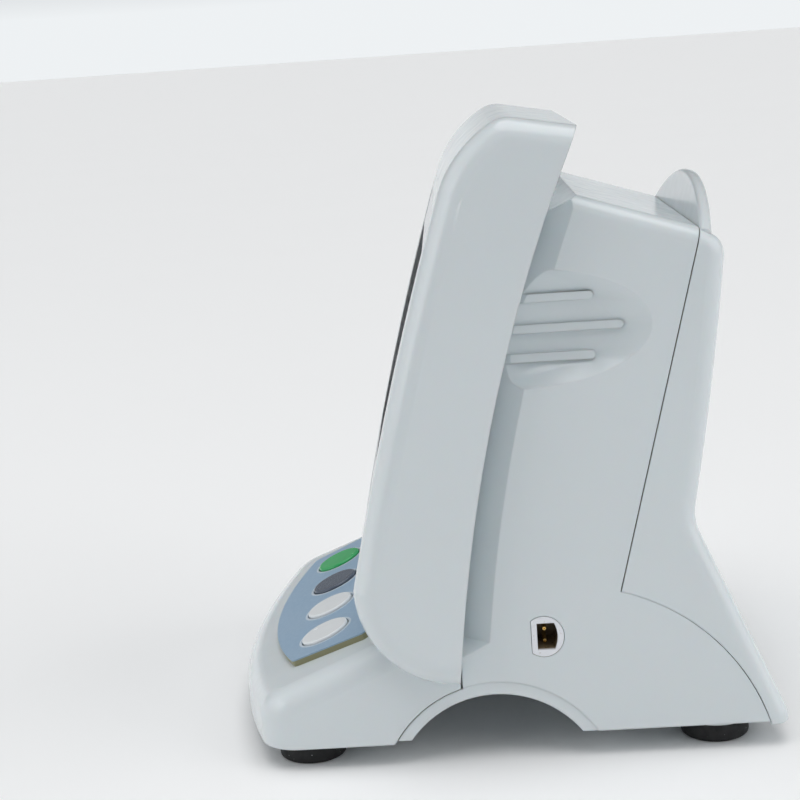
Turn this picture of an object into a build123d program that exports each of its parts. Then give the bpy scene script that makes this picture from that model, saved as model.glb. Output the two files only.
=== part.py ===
"""Apex locator: a desk-top root canal meter with a leaning display hood and a keypad foot.

The part stands on its four rubber feet. The display faces -Y, the battery cover faces +Y
and the probe socket is on the +X side. The origin is on the floor under the middle of the
overall depth. All sizes are millimetres.
"""
from build123d import *
from math import asin, atan2, cos, degrees, hypot, radians, sin, sqrt, tan
import os

# ---------------------------------------------------------------- overall sizes
BASE_WIDTH = 110.0        # over the leaning sides of the base, carried down to floor level
HOOD_PROUD = 6.3          # how far the hood side stands out from the side of the base
SIDE_LEAN = 0.12          # inward run of every side wall, per millimetre of height
FRONT_Y = -61.5           # most forward point of the base
REAR_Y = 61.5             # most rearward point of the battery cover
HOOD_TOP_Z = 135.3        # rear top edge of the display hood
BIG = 200.0               # longer than the whole object, for cutting blocks

# ---------------------------------------------------------------- walls and fits
WALL = 2.2                # moulded wall of the three shells
GAP = 0.3                 # clearance between shells where they nest
FIT = 0.2                 # clearance of a part seated in a pocket
SEAM = 0.22               # open line between the battery cover and the rear shell

# ---------------------------------------------------------------- base and hand arch
PANEL_Z = 5.7             # underside of the bottom panel
FRONT_RIM_Z = 5.0         # lower edge of the front shell
ARCH_Y = -2.1             # middle of the hand arch through the base
ARCH_RADIUS = 23.6
ARCH_TOP_Z = 14.9
ARCH_LIP = 2.7            # width of the lip that lines the arch
LIP_R = ARCH_RADIUS + ARCH_LIP
FRONT_BASE_END = -9.4     # rear end of the front shell's base
ARCH_STEP = 0.25          # how far the lip lies below the side around it
ARCH_SIDE = 2.9           # thickness of the side walls beside the arch recess
CEILING_Z = 16.5          # ceiling of the recess between those walls
CEILING_REAR_Y = 12.1
FRONT_CORNER_Y = -51.8    # where the bowed front meets the sides
FRONT_CORNER_R = 9.0
FRONT_TOP_R = 6.0

# ---------------------------------------------------------------- hood
HOOD_FOOT_Z = 18.1        # rear lower tip of the hood side
HOOD_FOOT_R = 21.5        # sweep of the hood side under its front
HOOD_REAR_R = 359.0       # bow of its rear edge
HOOD_REAR_AXIS = (348.0, -15.3)
HOOD_FRONT_R = 844.9      # bow of its front face
HOOD_FRONT_AXIS = (792.8, -146.6)
HOOD_CREASE_Z = 123.5     # soft crease between the front face and the nose
HOOD_NOSE_R = 28.0        # bulge of the nose above it
HOOD_PEAK_Y = 6.5         # where the nose meets the top face
HOOD_PEAK_R = 7.0
HOOD_EDGE_R = 5.5         # between the front or the top and the sides
HOOD_SLOPE = 0.19         # fall of its top face towards the rear, per millimetre

# ---------------------------------------------------------------- tower and battery cover
NECK_DEPTH = 5.0          # how far the neck steps inward behind the hood
NECK_LENGTH = 6.0         # its length, front to rear
NECK_FOOT_Z = 22.4        # its lower end
NECK_FADE = 4.0           # height over which it fades out there
TOWER_EDGE_R = 4.0
TOWER_SLOPE = 0.33        # fall of its top face towards the rear, per millimetre
SEAM_CORNER = (26.2, 35.8)    # (y, z) of the corner in the cover seam
SEAM_TOP = (47.2, 112.0)      # where the seam meets the tower's top face
SEAM_FOOT_Y = 57.0
SEAM_SWEEP_R = 44.7           # sweep of the seam over the base
COVER_TOP = (52.8, 108.7)     # (y, z) of the cover's top rear corner
COVER_WAIST = (43.1, 49.6)    # (y, z) of the hollow between back and foot of the cover
COVER_FOOT_Z = 5.0
COVER_HEEL = 1.8          # upright rear edge at its foot
COVER_BACK_R = 750.0      # bow of its upper back
COVER_TOP_R = 5.0
COVER_WAIST_R = 10.0
COVER_EDGE_R = 4.0
CREST_RISE = 9.8          # arched finger crest on top of the cover
CREST_HALF = 39.5
CREST_T = 2.7
COVER_HEEL_R = 3.0

# ---------------------------------------------------------------- keypad and its board
KEY_TILT = 22.0           # slope of the keypad, degrees
KEY_ROW_Y = -40.3         # middle of the row of keys
KEY_ROW_Z = 22.4          # height of the plate's top face at that row
PLATE_T = 1.6
PLATE_FRONT = -14.8       # front of the plate, down the slope from the row of keys
PLATE_SHOULDER = -7.6     # where its bowed front meets its sides
PLATE_FLANK = 10.0        # where its sides meet the rear corners
PLATE_REAR = 13.0
PLATE_HALF = (38.0, 40.5)    # half its width at the shoulder and at the flank
KEY_PITCH = 18.6
KEY_D = 11.6
KEY_CLEARANCE = 0.25      # all round each key
KEY_PROUD = 0.7
KEY_EDGE_R = 0.5
KEY_FLANGE = 0.9          # how far the retaining flange stands out from the key
KEY_FLANGE_T = 0.7
KEY_TRAVEL = 0.5
KEY_STEM_D = 5.0
KEY_STEM_DROP = 1.0       # stem below the flange
SWITCH_SIZE = 6.2
SWITCH_H = 3.5
SWITCH_BUTTON_D = 3.4
SWITCH_BUTTON_PROUD = 0.9
SWITCH_WELL = 1.6         # depth of the hole its button slides in
KEY_BOARD_HALF = 35.0
KEY_BOARD_REACH = (-8.0, 12.0)
BOARD_T = 1.6
BOSS_D = 5.0
KEY_BOSSES = ((-KEY_PITCH, 9.3), (KEY_PITCH, 9.3), (0.0, -5.3))    # (x, up the slope)

# ---------------------------------------------------------------- display
DISPLAY_Z = 85.0          # middle of the window
WINDOW_HALF = 39.0
WINDOW_HEIGHT = 66.0
WINDOW_T = 1.2
WINDOW_SUNK = 0.1         # below the hood's front face
WINDOW_R = 3.0
VIEW_HALF = 34.0          # opening in the wall behind the window
VIEW_HEIGHT = 54.0
GLASS_SIZE = (72.0, 60.0, 2.8)
GLASS_DEPTH = WALL + 1.2  # front of the display glass, behind the hood's front face
BACKLIGHT_T = 3.0
BOARD_DEPTH = GLASS_DEPTH + GLASS_SIZE[2] + BACKLIGHT_T + 0.4
BOARD_HALF = 42.0
BOARD_REACH = (-38.0, 36.0)
DISPLAY_BOSSES = ((-39.0, -35.0), (39.0, -35.0), (-39.0, 33.0), (39.0, 33.0))
SMALL_SCREW_D = 2.0
SMALL_HEAD_D = 4.0
SMALL_HEAD_T = 1.2
SMALL_SCREW_L = 5.5
PILOT_ROOM = 0.4          # below the tip of a small screw

# ---------------------------------------------------------------- underside
FOOT_X = 43.5
FOOT_Y = (-43.5, 46.5)
FOOT_D = 15.0
FOOT_RING_D = 16.8        # raised ring that locates each foot
FOOT_RING_T = 1.3
CEILING_FOOT_Y = 16.2     # foot of the recess's rear wall
CHANNEL_X = 41.65         # middle of each screw channel
CHANNEL_W = 7.5
CHANNEL_Y = (-34.5, 12.1)
CHANNEL_STEP_Y = (-22.0, -14.0)    # where its ceiling climbs
CHANNEL_Z = (15.0, 19.5)
CHANNEL_WALL = 1.5
CHANNEL_END_T = 3.0       # wall that the case screws pass through
CASE_SCREW_Z = 11.0
CASE_SCREW_TILT = 15.0    # degrees above level
CASE_SCREW_L = 12.0
SLOT_W = 2.1
SLOT_PITCH = 3.5
SLOT_LENGTHS = (16.6, 21.1, 22.4, 21.1, 16.6)
SPEAKER_X = -24.45
SPEAKER_Y = -4.0
SPEAKER_D = 23.0
SPEAKER_H = 5.0
LABEL_SIZE = (56.7, 25.0, 0.3)
LABEL_Y = 32.0
COVER_SCREW_X = 24.5
COVER_SCREW_Y = 50.7
COVER_SCREW_L = 8.0
SCREW_D = 3.0
SCREW_HEAD_D = 5.9
SCREW_HEAD_T = 1.8
TAB_T = 2.0               # cover tab that each of those screws clamps
TAB_HALF = 3.5
LUG_HALF = 5.5            # lug on the rear shell that the screw bites in
LUG_H = 7.0

# ---------------------------------------------------------------- sides of the rear shell
SLIT_Y = FRONT_BASE_END + 0.4       # front edge of its sides, under the hood
PLATE_SHIFT = -0.5                  # rear face of its back plate, from the hood's rear edge
TRAY_INSET = WALL + GAP
SCOOP_Y = 8.0                       # middle of the finger scoop
SCOOP_Z = 93.2
SCOOP_SIZE = (5.0, 28.0, 12.8)      # half depth, half length, half height
SCOOP_BACKING = 1.3                 # wall kept behind it
RIB_W = 1.9
RIB_H = 0.9
RIBS = ((6.4, 24.0), (-0.2, 30.2), (-6.4, 23.8))    # (height above the middle, rear end)
SOCKET_Y = 9.2
SOCKET_Z = 27.0
SOCKET_R = 4.35
SOCKET_FLAT = 2.65                  # from the socket's middle to its flat front side
SOCKET_RIM = 1.2
SOCKET_CAVITY = (2.9, 2.3, 3.0)     # half height, and reach to the rear at its corners and middle
SOCKET_DEPTH = 9.0
SOCKET_BACK = 2.0
SOCKET_PIN_D = 1.0
SOCKET_PIN_BORE = 0.4
SOCKET_PIN_L = 5.2
SOCKET_PINS = ((9.5, 27.5), (9.5, 24.7))    # (y, z)

# ---------------------------------------------------------------- battery bay
BULKHEAD = (4.3, 6.5)     # the bulkhead's two faces, ahead of the cover seam
CELL_D = 14.2
CELL_L = 50.5
CELL_COUNT = 5
CELL_PITCH = CELL_D + 0.4
CELL_MIDDLE = 38.0        # up the seam from its corner
CELL_DEPTH = CELL_D / 2 + 1.6    # cell axis ahead of the seam
CELL_NUB = (5.2, 1.3)     # diameter and length of the positive end
TRAY_T = 1.5
TRAY_FLANGE = 1.9         # how far its flange reaches over the bulkhead
TRAY_RIB_H = 2.2          # low ribs between the cells
CONTACT_ROOM = 2.55       # at each end of a cell
CONTACT_T = 0.4

# ---------------------------------------------------------------- outline helpers
def arc_y(axis, radius, z):
    """The y of a large bow at height z, on the side that faces the front."""
    return axis[0] - sqrt(radius ** 2 - (z - axis[1]) ** 2)


def hood_rear(z, shift=0.0):
    return arc_y(HOOD_REAR_AXIS, HOOD_REAR_R, z) + shift


def hood_front(z, inset=0.0):
    return arc_y(HOOD_FRONT_AXIS, HOOD_FRONT_R - inset, z)


def bow(curve, low, high, offset=0.0):
    """An arc in the side view along one of the two bows, from height low to height high."""
    heights = (low, (low + high) / 2, high)
    return ThreePointArc(*[(curve(z, offset), z) for z in heights])


def bulge(start, end, radius):
    """An arc from start to end that bulges to the left of the line between them."""
    dy, dz = end[0] - start[0], end[1] - start[1]
    chord = hypot(dy, dz)
    rise = radius - sqrt(radius ** 2 - chord ** 2 / 4)
    middle = ((start[0] + end[0]) / 2 - dz / chord * rise, (start[1] + end[1]) / 2 + dy / chord * rise)
    return ThreePointArc(start, middle, end)


def side_view(*edges):
    """A face in the side view (y across, z up), from edges given in order."""
    return make_face(Wire(edges))


def slab(face, half=BIG):
    """A side-view face carried across the object, to `half` on each side."""
    return extrude(Plane.YZ * face, amount=half, both=True)


def wedge(width, inset=0.0):
    """The space between two leaning sides that are `width` apart at floor level."""
    low, high = -20.0, 180.0
    low_x, high_x = (width / 2 - inset - SIDE_LEAN * z for z in (low, high))
    outline = Polyline((-low_x, low), (low_x, low), (high_x, high), (-high_x, high), close=True)
    return extrude(Plane.XZ * make_face(outline), amount=BIG, both=True)


def block(x, y, z):
    """A box from its (low, high) pairs."""
    size = [pair[1] - pair[0] for pair in (x, y, z)]
    middle = [(pair[1] + pair[0]) / 2 for pair in (x, y, z)]
    return Pos(*middle) * Box(*size)


def top_z(y, drop=0.0):
    """Height of the hood's top face."""
    return HOOD_TOP_Z - HOOD_SLOPE * (y - hood_rear(HOOD_TOP_Z)) - drop * hypot(1, HOOD_SLOPE)


def tower_z(y, drop=0.0):
    """Height of the tower's top face."""
    return SEAM_TOP[1] - TOWER_SLOPE * (y - SEAM_TOP[0]) - drop * hypot(1, TOWER_SLOPE)


def meet(curve, roof, offset, drop):
    """The height at which a bow meets a sloping top."""
    z = HOOD_TOP_Z
    for _ in range(40):
        z = roof(curve(z, offset), drop)
    return z


def ring_z(y, radius):
    """Height of a circle concentric with the hand arch."""
    return ARCH_TOP_Z - ARCH_RADIUS + sqrt(radius ** 2 - (y - ARCH_Y) ** 2)


def ring_y(z, radius):
    """Half of its width at height z."""
    return sqrt(radius ** 2 - (z - ARCH_TOP_Z + ARCH_RADIUS) ** 2)


def ring_arc(start_y, end_y, radius):
    middle = (start_y + end_y) / 2
    return ThreePointArc(*[(y, ring_z(y, radius)) for y in (start_y, middle, end_y)])


# ---------------------------------------------------------------- front shell
def keypad_top(y, below=0.0):
    """Height of a plane parallel to the keypad plate, `below` its top face."""
    tilt = radians(KEY_TILT)
    return KEY_ROW_Z + (y - KEY_ROW_Y) * tan(tilt) - below / cos(tilt)


def hood_outline(reach=0.0):
    """Side view of the hood. With a reach, it runs straight out behind its rear edge."""
    low = HOOD_FOOT_Z + HOOD_FOOT_R
    foot = (hood_rear(HOOD_FOOT_Z), HOOD_FOOT_Z)
    shin = (hood_front(low), low)
    crease = (hood_front(HOOD_CREASE_Z), HOOD_CREASE_Z)
    peak = (HOOD_PEAK_Y, top_z(HOOD_PEAK_Y))
    middle = (foot[0] - (foot[0] - shin[0]) * cos(radians(45)), low - HOOD_FOOT_R * sin(radians(45)))
    edges = [ThreePointArc(foot, middle, shin), bow(hood_front, low, HOOD_CREASE_Z),
             bulge(crease, peak, HOOD_NOSE_R)]
    if reach:
        end_y = hood_rear(HOOD_TOP_Z) + reach
        edges += [Line(peak, (end_y, top_z(end_y))), Line((end_y, top_z(end_y)), (end_y, HOOD_FOOT_Z)),
                  Line((end_y, HOOD_FOOT_Z), foot)]
    else:
        edges += [Line(peak, (hood_rear(HOOD_TOP_Z), HOOD_TOP_Z)),
                  bow(hood_rear, HOOD_TOP_Z, HOOD_FOOT_Z)]
    outline = side_view(*edges)
    corner = outline.vertices().sort_by_distance((peak[0], peak[1], 0))[0]
    return fillet(corner, HOOD_PEAK_R)


def hood_block(inset=0.0):
    """The hood as a solid. Set in by the wall, it is the hollow, which runs out of the rear."""
    outline = offset(hood_outline(30.0), -inset) if inset else hood_outline()
    solid = slab(outline) & wedge(BASE_WIDTH + 2 * HOOD_PROUD, inset)
    rim = [edge for edge in solid.edges() if is_rim(edge, HOOD_FOOT_Z + inset + 1.0, inset)]
    return fillet(rim, HOOD_EDGE_R - inset)


def is_rim(edge, low, inset):
    """True for the edges between the hood's sides and its front, nose and top."""
    middle = edge @ 0.5
    if abs(abs(middle.X) - (BASE_WIDTH / 2 + HOOD_PROUD - inset - SIDE_LEAN * middle.Z)) > 0.01:
        return False
    if middle.Z < low:
        return False
    rear = hood_rear(middle.Z)
    return middle.Y < rear - 3.0 or (middle.Z > top_z(middle.Y, inset) - 0.5 and middle.Y < rear + 25)


def front_plan(inset=0.0, end_y=FRONT_BASE_END):
    """The base's plan with its bowed front and round corners, as a block between leaning sides."""
    half = BASE_WIDTH / 2
    corner_y = FRONT_CORNER_Y + inset
    front = ThreePointArc((-half, corner_y), (0, FRONT_Y + inset), (half, corner_y))
    sides = Polyline((half, corner_y), (half, end_y), (-half, end_y), (-half, corner_y))
    block_plan = extrude(make_face(Wire([front, *sides.edges()])), amount=60.0) & wedge(BASE_WIDTH, inset)
    corners = [e for e in block_plan.edges() if abs((e @ 0.5).Y - corner_y) < 4.0
               and abs((e @ 0.5).X) > 30 and abs((e @ 1).Z - (e @ 0).Z) > 20]
    return fillet(corners, FRONT_CORNER_R - inset)


def base_block(inset=0.0):
    """The front of the base as a solid. Set in, it is the hollow, open underneath."""
    bottom = FRONT_RIM_Z if not inset else -5.0
    below = PLATE_T + inset
    end_y = FRONT_BASE_END
    if inset:
        end_y += 5.0
        edges = [Line((end_y, bottom), (end_y, keypad_top(end_y, below)))]
        first = (end_y, bottom)
    else:
        rim_y = ARCH_Y - ring_y(bottom, LIP_R)
        edges = [ring_arc(rim_y, end_y, LIP_R),
                 Line((end_y, ring_z(end_y, LIP_R)), (end_y, keypad_top(end_y, below)))]
        first = (rim_y, bottom)
    far = FRONT_Y - 10
    outline = side_view(
        *edges,
        Line((end_y, keypad_top(end_y, below)), (far, keypad_top(far, below))),
        Line((far, keypad_top(far, below)), (far, bottom)),
        Line((far, bottom), first))
    solid = front_plan(inset, end_y) & slab(outline)
    top = [e for e in solid.edges()
           if abs((e @ 0.5).Z - keypad_top((e @ 0.5).Y, below)) < 0.3 and (e @ 0.5).Y < end_y - 1]
    return fillet(top, FRONT_TOP_R - inset)


# ---------------------------------------------------------------- rear shell
def seam_outline(shift_y=0.0, shift_z=0.0):
    """The cover seam from its top, round its corner, to its foot: two edges."""
    top, corner = SEAM_TOP, SEAM_CORNER
    foot = (SEAM_FOOT_Y, PANEL_Z)
    moved = [(y + shift_y, z + shift_z) for y, z in (top, corner, foot)]
    return Line(moved[0], moved[1]), bulge(moved[1], moved[2], SEAM_SWEEP_R)


def above(z, face):
    return face & Pos(0, z + BIG / 2) * Rectangle(2 * BIG, BIG)


def under(z, face):
    return face & Pos(0, z - BIG / 2) * Rectangle(2 * BIG, BIG)


def tower_face():
    """Side view of the rear shell above the foot of the neck."""
    shift = PLATE_SHIFT - 1.0
    high = meet(hood_rear, tower_z, shift, 0.0)
    nose = (hood_rear(high, shift), high)
    low = (hood_rear(PANEL_Z, shift), PANEL_Z)
    outline = side_view(bow(hood_rear, PANEL_Z, high, shift), Line(nose, SEAM_TOP),
                        *seam_outline(), Line((SEAM_FOOT_Y, PANEL_Z), low))
    return above(NECK_FOOT_Z, outline)


def rear_base_face():
    """Side view of the rear shell below the foot of the neck, with the hand arch."""
    arch = ring_y(PANEL_Z, ARCH_RADIUS)
    lip = ring_y(PANEL_Z, LIP_R - FIT)
    corner = SEAM_CORNER
    outline = side_view(
        Line((SEAM_FOOT_Y, PANEL_Z), (ARCH_Y + arch, PANEL_Z)),
        ring_arc(ARCH_Y + arch, ARCH_Y - arch, ARCH_RADIUS),
        Line((ARCH_Y - arch, PANEL_Z), (ARCH_Y - lip, PANEL_Z)),
        ring_arc(ARCH_Y - lip, SLIT_Y, LIP_R - FIT),
        Line((SLIT_Y, ring_z(SLIT_Y, LIP_R - FIT)), (SLIT_Y, corner[1])),
        Line((SLIT_Y, corner[1]), corner),
        seam_outline()[1])
    return under(NECK_FOOT_Z, outline)


def neck_section(side, inset, z, fade=0.0):
    """Plan of what the neck takes off at height z, moved outward where the neck fades out."""
    outer = BASE_WIDTH / 2 - SIDE_LEAN * z - inset + fade * NECK_DEPTH
    rear = hood_rear(z)
    run = NECK_LENGTH / NECK_DEPTH
    near = (side * (outer - NECK_DEPTH - 5), rear - 5 * run)
    far = (side * (outer + 4), rear + NECK_LENGTH + 4 * run)
    corner = (side * (outer + 4), rear - 5 * run)
    return Pos(0, 0, z) * make_face(Polyline(near, far, corner, close=True))


def neck_cutter(side, inset):
    """What the neck takes off one side of the tower, up the bow of the hood's rear."""
    foot = NECK_FOOT_Z - inset
    start, end, spans = foot + NECK_FADE, HOOD_TOP_Z + 5, 4
    heights = [start + (end - start) * step / spans for step in range(spans + 1)]
    body = loft([neck_section(side, inset, z) for z in heights])
    return body + loft([neck_section(side, inset, foot, 1.3), neck_section(side, inset, start)], ruled=True)


def neck_top_cutter(inset):
    """What the neck takes off the top of the tower."""
    high = meet(hood_rear, tower_z, NECK_LENGTH, inset)
    start = (hood_rear(high) + NECK_LENGTH, high)
    run = NECK_LENGTH + 6
    end = (start[0] - run, tower_z(start[0] - run, inset) - NECK_DEPTH * run / NECK_LENGTH)
    return slab(make_face(Polyline(start, end, (end[0], start[1] + 20), (start[0] + 5, start[1] + 20),
                                   (start[0] + 1, tower_z(start[0] + 1, inset) + 1), close=True)))


def tower_block(inset=0.0):
    """The tower as a solid with its neck. Set in, it is the hollow, open at the rear."""
    if not inset:
        face = tower_face()
    else:
        shift = PLATE_SHIFT - WALL - 1.0
        high = meet(hood_rear, tower_z, shift, inset)
        nose = (hood_rear(high, shift), high)
        far = (SEAM_TOP[0] + 20, tower_z(SEAM_TOP[0] + 20, inset))
        floor = NECK_FOOT_Z
        face = side_view(bow(hood_rear, floor, high, shift), Line(nose, far),
                         Line(far, (far[0], floor)), Line((far[0], floor), (hood_rear(floor, shift), floor)))
    solid = slab(face) & wedge(BASE_WIDTH, inset)
    roof = [e for e in solid.edges()
            if abs((e @ 0.5).Z - tower_z((e @ 0.5).Y, inset)) < 0.01 and abs((e @ 0.5).X) > 20
            and abs((e @ 1).Y - (e @ 0).Y) > 5]
    solid = fillet(roof, TOWER_EDGE_R - inset / 2)
    return solid - neck_cutter(1, inset) - neck_cutter(-1, inset) - neck_top_cutter(inset)


def floor_face(rise=0.0):
    """Side view of all that lies below the bottom panel and the recess, raised by `rise`."""
    radius = ARCH_RADIUS + CEILING_Z - ARCH_TOP_Z + rise
    level, ceiling = PANEL_Z + rise, CEILING_Z + rise
    run = (CEILING_FOOT_Y - CEILING_REAR_Y) / (CEILING_Z - PANEL_Z)
    shift = rise * (hypot(1, run) - run)
    start_y = ARCH_Y - ring_y(level, radius)
    rest = Polyline((ARCH_Y, ceiling), (CEILING_REAR_Y + shift, ceiling), (CEILING_FOOT_Y + shift, level),
                    (BIG, level), (BIG, -BIG), (-BIG, -BIG), (-BIG, level), (start_y, level))
    return side_view(ring_arc(start_y, ARCH_Y, radius), *rest.edges())


def seam_side(ahead, end_y):
    """Side view of all that lies on one side of the seam, the seam moved `ahead` to the front."""
    run, rise = SEAM_TOP[0] - SEAM_CORNER[0], SEAM_TOP[1] - SEAM_CORNER[1]
    shift_y, shift_z = -ahead * rise / hypot(run, rise), ahead * run / hypot(run, rise)
    foot = (SEAM_FOOT_Y + shift_y, PANEL_Z + shift_z)
    corner = (SEAM_CORNER[0] + shift_y, SEAM_CORNER[1] + shift_z)
    top = (corner[0] + 2 * run, corner[1] + 2 * rise)
    around = Polyline(foot, (foot[0], -BIG), (end_y, -BIG), (end_y, top[1]), top, corner)
    return side_view(bulge(corner, foot, SEAM_SWEEP_R), *around.edges())


def channel_outline(grow):
    """Side view of a screw channel, or of the walls round it."""
    front, rear = CHANNEL_Y
    front_z, rear_z = (z + grow for z in CHANNEL_Z)
    wall = CHANNEL_END_T if grow else 0.0
    return make_face(Polyline(
        (front - wall, -BIG), (front - wall, front_z), (CHANNEL_STEP_Y[0], front_z),
        (CHANNEL_STEP_Y[1], rear_z), (rear + grow, rear_z), (rear + grow, -BIG), close=True))


def channel(side, grow=0.0):
    half = CHANNEL_W / 2 + grow
    return Pos(side * CHANNEL_X, 0, 0) * slab(channel_outline(grow), half)


def case_screw_place(side):
    """A location at a case screw's seat, its z axis along the screw towards the tip."""
    tilt = radians(CASE_SCREW_TILT)
    seat = Plane(origin=(side * CHANNEL_X, CHANNEL_Y[0] - 0.5, CASE_SCREW_Z), x_dir=(1, 0, 0),
                 z_dir=(0, -cos(tilt), sin(tilt)))
    return Location(seat)


def rod(diameter, start, end):
    """A cylinder along z between two heights."""
    return Pos(0, 0, (start + end) / 2) * Cylinder(diameter / 2, abs(end - start))


def pan_screw(diameter, length, head_d, head_t):
    """A pan-head screw with a cross recess: its seat at z = 0 and its tip up."""
    head = rod(head_d, -head_t, 0)
    head = fillet(head.edges().sort_by(Axis.Z)[0], head_t * 0.6)
    arm = Box(head_d * 0.55, head_d * 0.13, head_t * 1.1)
    recess = Pos(0, 0, -head_t) * (arm + Rot(0, 0, 90) * arm)
    shank = rod(diameter, 0, length)
    shank = chamfer(shank.edges().sort_by(Axis.Z)[-1], diameter * 0.25)
    return head + shank - recess


def side_place(side, z):
    """A frame on the leaning side at height z: its x axis points out, its z axis up the side."""
    x = side * (BASE_WIDTH / 2 - SIDE_LEAN * z)
    lean = atan2(SIDE_LEAN, 1)
    return Pos(x, 0, z) * Rot(0, -side * degrees(lean), 0)


def scoop(side, grow=0.0):
    """The shallow oval that the fingers rest in, cut off at the rear of the back plate."""
    depth, length, height = (half + grow for half in SCOOP_SIZE)
    oval = scale(Sphere(1), by=(depth, length, height))
    low, high = SCOOP_Z - 2 * height, SCOOP_Z + 2 * height
    behind = side_view(
        bow(hood_rear, low, high, PLATE_SHIFT),
        *Polyline((hood_rear(high, PLATE_SHIFT), high), (BIG, high), (BIG, low),
                  (hood_rear(low, PLATE_SHIFT), low)).edges())
    return (side_place(side, SCOOP_Z) * (Pos(0, SCOOP_Y, 0) * oval)) & slab(behind)


def scoop_ribs(side):
    """The low ribs left standing in the scoop."""
    ribs = []
    for height, end_y in RIBS:
        bar = block((-20, 20), (SCOOP_Y - SCOOP_SIZE[1], end_y - RIB_W / 2), (-RIB_W / 2, RIB_W / 2))
        tip = Pos(0, end_y - RIB_W / 2, 0) * Rot(0, 90, 0) * Cylinder(RIB_W / 2, 40)
        ribs.append(side_place(side, SCOOP_Z) * (Pos(0, 0, height) * (bar + tip)))
    return [(rib & scoop(side)) - scoop(side, -RIB_H) for rib in ribs]


def socket_outline(grow=0.0):
    """The round opening of the probe socket with its flat front side, in the side view."""
    radius, flat = SOCKET_R + grow, SOCKET_FLAT + grow
    half = BIG - flat
    return Pos(SOCKET_Y, SOCKET_Z) * (Circle(radius) - Pos(-flat - half / 2, 0) * Rectangle(half, 4 * radius))


def socket_cavity():
    """The opening that the probe's plug goes into, flat in front and bowed at the rear."""
    half, corner, bowed = SOCKET_CAVITY
    front = SOCKET_Y - SOCKET_FLAT + SOCKET_RIM
    low, high = SOCKET_Z - half, SOCKET_Z + half
    rear = SOCKET_Y + corner
    return side_view(*Polyline((rear, low), (front, low), (front, high), (rear, high)).edges(),
                     ThreePointArc((rear, high), (SOCKET_Y + bowed, SOCKET_Z), (rear, low)))


def socket_bar(outline, start, end):
    """An outline carried inward, from `start` to `end` below the leaning side."""
    surface = BASE_WIDTH / 2 - SIDE_LEAN * SOCKET_Z
    bar = extrude(Plane.YZ * outline, amount=surface - start + 5)
    keep = wedge(BASE_WIDTH, start) - block((-BIG, surface - end), (-BIG, BIG), (-BIG, BIG))
    return bar & keep


def speaker_ring():
    """The collar on the recess's ceiling that holds the speaker."""
    top = CEILING_Z + WALL + 2.0
    outer, inner = SPEAKER_D + 2 * (FIT + 1.2), SPEAKER_D + 2 * FIT
    ring = rod(outer, PANEL_Z, top) - rod(inner, PANEL_Z, top)
    return Pos(SPEAKER_X, SPEAKER_Y, 0) * ring - slab(floor_face(WALL / 2))


def grille_slots():
    slots = []
    for number, length in enumerate(SLOT_LENGTHS):
        x = SPEAKER_X + (number - (len(SLOT_LENGTHS) - 1) / 2) * SLOT_PITCH
        slot = extrude(SlotOverall(length, SLOT_W, rotation=90), amount=CEILING_Z + 8)
        slots.append(Pos(x, SPEAKER_Y, 0) * slot)
    return slots


def seam_plane():
    """The cover seam's plane: x across, y up the seam from its corner, z out to the rear."""
    run, rise = SEAM_TOP[0] - SEAM_CORNER[0], SEAM_TOP[1] - SEAM_CORNER[1]
    return Location(Plane(origin=(0, *SEAM_CORNER), x_dir=(-1, 0, 0), z_dir=(0, rise, -run)))


def seam_block(half, low, high, near, far):
    """A box on the seam plane: half its width, its span up the seam, and its span to the rear."""
    return seam_plane() * block((-half, half), (low, high), (near, far))


def tray_bay():
    """Half width, low end and high end of the space for the cells."""
    half = ((CELL_COUNT - 1) * CELL_PITCH + CELL_D) / 2 + FIT
    reach = CELL_L / 2 + CONTACT_ROOM
    return half, CELL_MIDDLE - reach, CELL_MIDDLE + reach


def cover_clamp(side, grow=0.0):
    """The lug that a cover screw threads into, and with `grow` the slot below it for the tab."""
    x, low = side * COVER_SCREW_X, PANEL_Z + WALL
    if grow:
        half = TAB_HALF + grow
        return block((x - half, x + half), (COVER_SCREW_Y - half, REAR_Y + grow),
                     (low, low + TAB_T + 2 * grow))
    return block((x - LUG_HALF, x + LUG_HALF), (COVER_SCREW_Y - LUG_HALF, COVER_SCREW_Y + LUG_HALF - 3.2),
                 (low, low + TAB_T + LUG_H))


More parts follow.
